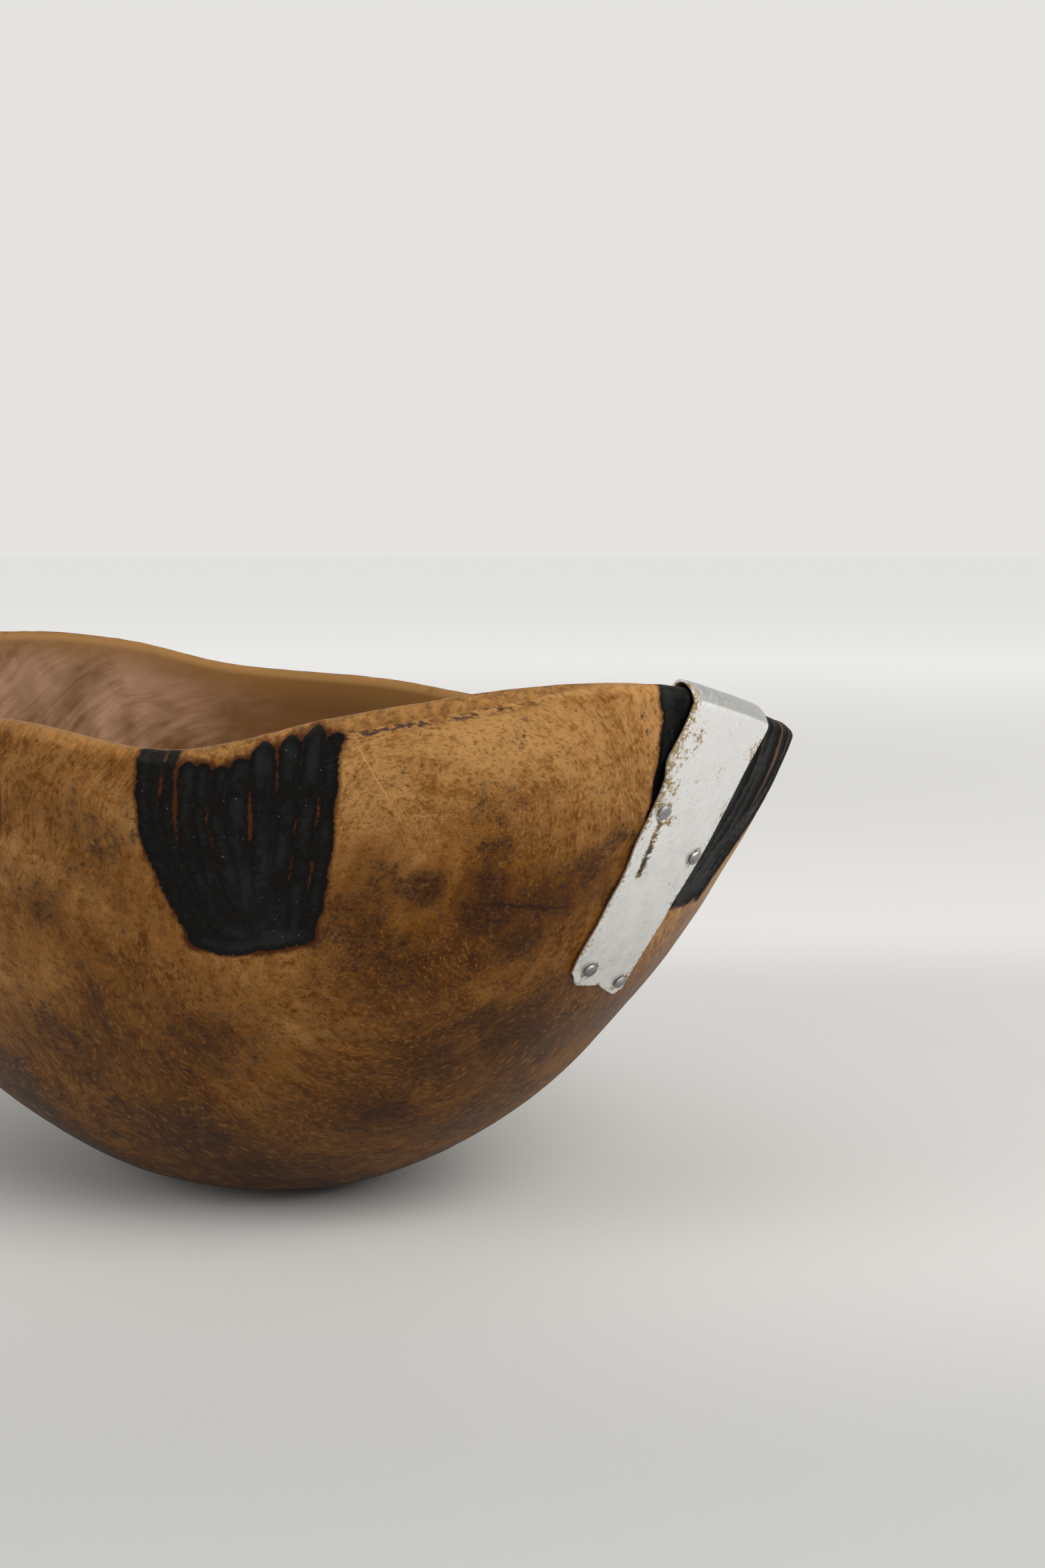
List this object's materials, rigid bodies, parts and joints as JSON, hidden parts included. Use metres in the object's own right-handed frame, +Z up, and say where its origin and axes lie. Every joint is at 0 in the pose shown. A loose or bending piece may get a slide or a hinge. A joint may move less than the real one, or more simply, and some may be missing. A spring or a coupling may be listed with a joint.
{
  "type": "carved wooden bowl",
  "caption": "Round-bottomed oval bowl carved from one piece of wood, with burnt patches below a wavy rim and a riveted sheet-metal repair strap.",
  "frame": {"origin": "middle of the small worn foot, on the surface that the bowl stands on", "axes": "+Z up, +X along the long axis of the mouth towards the repaired end, +Y along the short axis"},
  "size_m": [0.3322, 0.248, 0.1526],
  "materials": {
    "waxed_wood": "hand-carved and waxed, satin, with charred patches",
    "sheet_aluminium": "worn and scratched, with brown tarnish",
    "rivet_aluminium": "hammered, dull"
  },
  "bodies": {
    "root": {"bowl_body": "waxed_wood", "repair_strap": "sheet_aluminium", "rivet_1": "rivet_aluminium", "rivet_2": "rivet_aluminium", "rivet_3": "rivet_aluminium", "rivet_4": "rivet_aluminium"}
  },
  "joints": []
}
